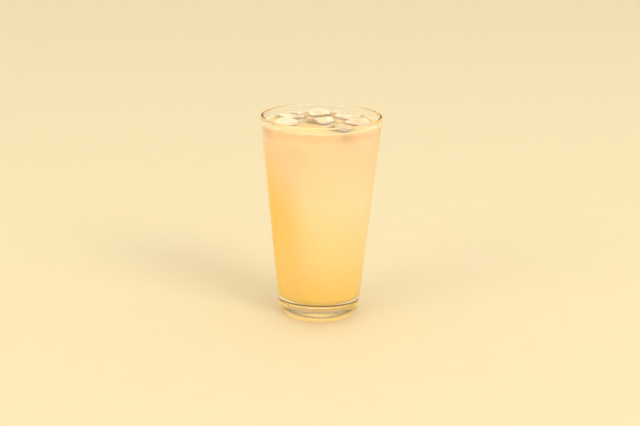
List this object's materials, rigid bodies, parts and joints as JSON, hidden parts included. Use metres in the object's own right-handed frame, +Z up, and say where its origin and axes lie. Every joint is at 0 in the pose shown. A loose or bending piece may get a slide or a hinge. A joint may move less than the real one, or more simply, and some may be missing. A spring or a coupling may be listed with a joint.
{
  "type": "glass of lemonade",
  "caption": "Tapered clear drinking glass with a thick rounded foot, filled close to the rim with pale cloudy lemonade and floating ice cubes.",
  "frame": {"origin": "middle of the foot, on the plane that the glass stands on", "axes": "+Z up along the axis of the glass; X and Y are free, with the side that has the gap in the ice towards -Y"},
  "size_m": [0.089, 0.089, 0.152],
  "materials": {
    "clear_glass": "clear soda-lime glass, fire-polished, smooth",
    "lemonade": "cloudy pale drink with a wet surface; light scatters inside it",
    "ice": "wet melting ice, clear at the faces and whiter in the middle"
  },
  "bodies": {
    "root": {"glass": "clear_glass", "lemonade": "lemonade", "ice_1": "ice", "ice_2": "ice", "ice_3": "ice", "ice_4": "ice", "ice_5": "ice", "ice_6": "ice", "ice_7": "ice"}
  },
  "joints": []
}
